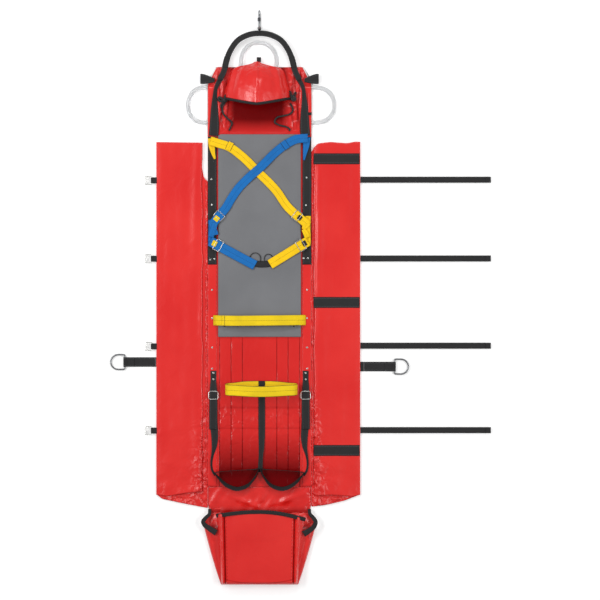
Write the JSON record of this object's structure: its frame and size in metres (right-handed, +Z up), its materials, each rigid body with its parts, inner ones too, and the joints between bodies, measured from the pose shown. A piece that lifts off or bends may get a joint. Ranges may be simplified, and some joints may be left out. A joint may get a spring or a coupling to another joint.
{
  "type": "rescue stretcher",
  "caption": "Flat roll-up rescue stretcher: stiffened red sheet with fold-over wings, padded mat, body harness, hood, lifting sling and foot bag.",
  "frame": {"origin": "middle of the back sheet's underside", "axes": "+Y to the head end, +X to the patient's left wing side with the long closure straps, +Z up from the floor"},
  "size_m": [1.7511, 2.6343, 0.1195],
  "materials": {
    "red_sheet": "coated, satin",
    "red_cover": "coated, satin",
    "red_hood": "coated, soft gathers",
    "board": "plain",
    "mat_grey": "matt foam cover",
    "web_black": "woven",
    "cord_black": "braided",
    "web_blue": "woven",
    "web_yellow": "woven",
    "rivet_metal": "satin",
    "carabiner_metal": "satin",
    "sleeve_metal": "anodised",
    "gate_metal": "satin",
    "tube_white": "translucent, smooth",
    "buckle_metal": "satin",
    "ring_steel": "satin",
    "lock_black": "moulded"
  },
  "bodies": {
    "base": {"back_sheet": "red_sheet", "slat_cover": "red_cover", "spine_board": "board", "side_slats": "board", "foam_mat": "mat_grey", "edge_strips": "red_cover", "side_webbing": "web_black", "rivets": "rivet_metal", "hood_cord_left": "cord_black", "hood_cord_right": "cord_black", "cord_lock_body": "lock_black", "shoulder_webs": "web_black", "side_loops": "web_black", "lift_straps": "web_black", "shoulder_strap_yellow": "web_yellow", "shoulder_strap_blue": "web_blue", "leg_strap_blue": "web_blue", "leg_strap_yellow": "web_yellow", "harness_anchor_left": "web_blue", "harness_anchor_right": "web_yellow", "crotch_links": "web_black", "centre_strap": "web_black", "foot_side_straps": "web_black", "foot_flap": "red_cover"},
    "hood": {"hood_shell": "red_hood", "hood_trim": "web_black"},
    "lock_button": {"cord_lock_button": "lock_black"},
    "sling": {"sling": "web_black"},
    "carabiner": {"carabiner_frame": "carabiner_metal"},
    "gate": {"carabiner_gate": "gate_metal"},
    "sleeve": {"carabiner_sleeve": "sleeve_metal"},
    "handle_head": {"handle_head": "tube_white"},
    "handle_left": {"handle_left": "tube_white"},
    "handle_right": {"handle_right": "tube_white"},
    "left_wing": {"left_wing": "red_sheet", "buckle_tabs": "web_black"},
    "right_wing": {"right_wing": "red_sheet", "wing_bands": "web_black"},
    "lift_tail_left": {"lift_tail_left": "web_black"},
    "lift_tail_right": {"lift_tail_right": "web_black"},
    "lift_ring_left": {"lift_ring_left": "ring_steel"},
    "lift_ring_right": {"lift_ring_right": "ring_steel"},
    "thigh_strap": {"thigh_strap": "web_yellow"},
    "knee_strap": {"knee_strap": "web_yellow"},
    "foot_loops": {"foot_loops": "web_black"},
    "foot_buckles": {"foot_buckles": "buckle_metal"},
    "bag": {"bag_shell": "red_sheet", "bag_pocket": "red_cover"},
    "closure_1": {"closure_strap_1": "web_black"},
    "buckle_1": {"buckle_1": "buckle_metal"},
    "closure_2": {"closure_strap_2": "web_black"},
    "buckle_2": {"buckle_2": "buckle_metal"},
    "closure_3": {"closure_strap_3": "web_black"},
    "buckle_3": {"buckle_3": "buckle_metal"},
    "closure_4": {"closure_strap_4": "web_black"},
    "buckle_4": {"buckle_4": "buckle_metal"},
    "slider_shoulder_left": {"slider_shoulder_left": "buckle_metal"},
    "slider_shoulder_right": {"slider_shoulder_right": "buckle_metal"},
    "slider_leg_left": {"slider_leg_left": "buckle_metal"},
    "slider_leg_right": {"slider_leg_right": "buckle_metal"}
  },
  "joints": [
    {"name": "left_wing_fold", "type": "hinge", "parent": "base", "child": "left_wing", "pos_m": [-0.24, 0, 0.006], "axis": [0, 1, 0], "range_deg": [0, 90]},
    {"name": "right_wing_fold", "type": "hinge", "parent": "base", "child": "right_wing", "pos_m": [0.24, 0, 0.006], "axis": [0, -1, 0], "range_deg": [0, 90]},
    {"name": "closure_lift_1", "type": "hinge", "parent": "right_wing", "child": "closure_1", "pos_m": [0.4651, 0.447, 0.0075], "axis": [0, -1, 0], "range_deg": [0, 75]},
    {"name": "closure_lift_2", "type": "hinge", "parent": "right_wing", "child": "closure_2", "pos_m": [0.4651, 0.085, 0.0075], "axis": [0, -1, 0], "range_deg": [0, 75]},
    {"name": "closure_lift_3", "type": "hinge", "parent": "right_wing", "child": "closure_3", "pos_m": [0.4651, -0.316, 0.0075], "axis": [0, -1, 0], "range_deg": [0, 75]},
    {"name": "closure_lift_4", "type": "hinge", "parent": "right_wing", "child": "closure_4", "pos_m": [0.4651, -0.704, 0.0075], "axis": [0, -1, 0], "range_deg": [0, 75]},
    {"name": "buckle_swing_1", "type": "hinge", "parent": "left_wing", "child": "buckle_1", "pos_m": [-0.496, 0.444, 0.0075], "axis": [0, 1, 0], "range_deg": [0, 90]},
    {"name": "buckle_swing_2", "type": "hinge", "parent": "left_wing", "child": "buckle_2", "pos_m": [-0.496, 0.084, 0.0075], "axis": [0, 1, 0], "range_deg": [0, 90]},
    {"name": "buckle_swing_3", "type": "hinge", "parent": "left_wing", "child": "buckle_3", "pos_m": [-0.496, -0.319, 0.0075], "axis": [0, 1, 0], "range_deg": [0, 90]},
    {"name": "buckle_swing_4", "type": "hinge", "parent": "left_wing", "child": "buckle_4", "pos_m": [-0.496, -0.706, 0.0075], "axis": [0, 1, 0], "range_deg": [0, 90]},
    {"name": "lift_left_swing", "type": "hinge", "parent": "base", "child": "lift_tail_left", "pos_m": [-0.482, -0.391, 0.003], "axis": [0, 1, 0], "range_deg": [0, 90]},
    {"name": "lift_right_swing", "type": "hinge", "parent": "base", "child": "lift_tail_right", "pos_m": [0.482, -0.412, 0.003], "axis": [0, -1, 0], "range_deg": [0, 90]},
    {"name": "ring_left_swing", "type": "hinge", "parent": "lift_tail_left", "child": "lift_ring_left", "pos_m": [-0.62, -0.391, 0.0068], "axis": [0, 1, 0], "range_deg": [0, 120]},
    {"name": "ring_right_swing", "type": "hinge", "parent": "lift_tail_right", "child": "lift_ring_right", "pos_m": [0.62, -0.412, 0.0068], "axis": [0, -1, 0], "range_deg": [0, 120]},
    {"name": "sling_lift", "type": "hinge", "parent": "base", "child": "sling", "pos_m": [0, 0.905, 0.0165], "axis": [1, 0, 0], "range_deg": [0, 90]},
    {"name": "carabiner_swing", "type": "hinge", "parent": "sling", "child": "carabiner", "pos_m": [0, 1.138, 0.031], "axis": [0, 0, 1], "range_deg": [-50, 50]},
    {"name": "gate_open", "type": "hinge", "parent": "carabiner", "child": "gate", "pos_m": [0, 1.191, 0.0565], "axis": [1, 0, 0], "range_deg": [0, 25], "stiffness_Nm_per_rad": 0.2, "springref_deg": -5.73},
    {"name": "sleeve_turn", "type": "hinge", "parent": "gate", "child": "sleeve", "pos_m": [0, 1.1735, 0.0565], "axis": [0, 1, 0], "range_deg": [0, 300]},
    {"name": "handle_head_lift", "type": "hinge", "parent": "base", "child": "handle_head", "pos_m": [-0.0035, 0.9753, 0.01], "axis": [1, 0, 0], "range_deg": [0, 60]},
    {"name": "handle_left_lift", "type": "hinge", "parent": "base", "child": "handle_left", "pos_m": [-0.2483, 0.79, 0.01], "axis": [0, 1, 0], "range_deg": [0, 90]},
    {"name": "handle_right_lift", "type": "hinge", "parent": "base", "child": "handle_right", "pos_m": [0.2483, 0.79, 0.01], "axis": [0, -1, 0], "range_deg": [0, 90]},
    {"name": "hood_tilt", "type": "hinge", "parent": "base", "child": "hood", "pos_m": [-0.01, 0.99, 0.0093], "axis": [-1, 0, 0], "range_deg": [0, 20]},
    {"name": "lock_press", "type": "slide", "parent": "base", "child": "lock_button", "axis": [0, 0, -1], "range_m": [0, 0.004], "stiffness_N_per_m": 300, "springref_m": -0.002},
    {"name": "slider_shoulder_right_slide", "type": "slide", "parent": "base", "child": "slider_shoulder_right", "axis": [-0.7672, 0.6414, 0], "range_m": [-0.004, 0.018]},
    {"name": "slider_shoulder_left_slide", "type": "slide", "parent": "base", "child": "slider_shoulder_left", "axis": [0.6534, 0.757, 0], "range_m": [-0.004, 0.018]},
    {"name": "slider_leg_left_slide", "type": "slide", "parent": "base", "child": "slider_leg_left", "axis": [0.878, -0.4787, 0], "range_m": [-0.004, 0.06]},
    {"name": "slider_leg_right_slide", "type": "slide", "parent": "base", "child": "slider_leg_right", "axis": [-0.8513, -0.5247, 0], "range_m": [-0.004, 0.06]},
    {"name": "thigh_lift", "type": "hinge", "parent": "base", "child": "thigh_strap", "pos_m": [-0.21, -0.199, 0.0132], "axis": [0, -1, 0], "range_deg": [0, 70]},
    {"name": "knee_slide", "type": "slide", "parent": "base", "child": "knee_strap", "axis": [0, 1, 0], "range_m": [-0.1, 0.01]},
    {"name": "stirrup_lift", "type": "hinge", "parent": "base", "child": "foot_loops", "pos_m": [0, -0.88, 0.0118], "axis": [-1, 0, 0], "range_deg": [0, 80]},
    {"name": "foot_buckle_slide", "type": "slide", "parent": "base", "child": "foot_buckles", "axis": [0, 1, 0], "range_m": [-0.025, 0.025]},
    {"name": "bag_lift", "type": "hinge", "parent": "base", "child": "bag", "pos_m": [0, -1.0628, 0.0045], "axis": [-1, 0, 0], "range_deg": [0, 30]}
  ]
}
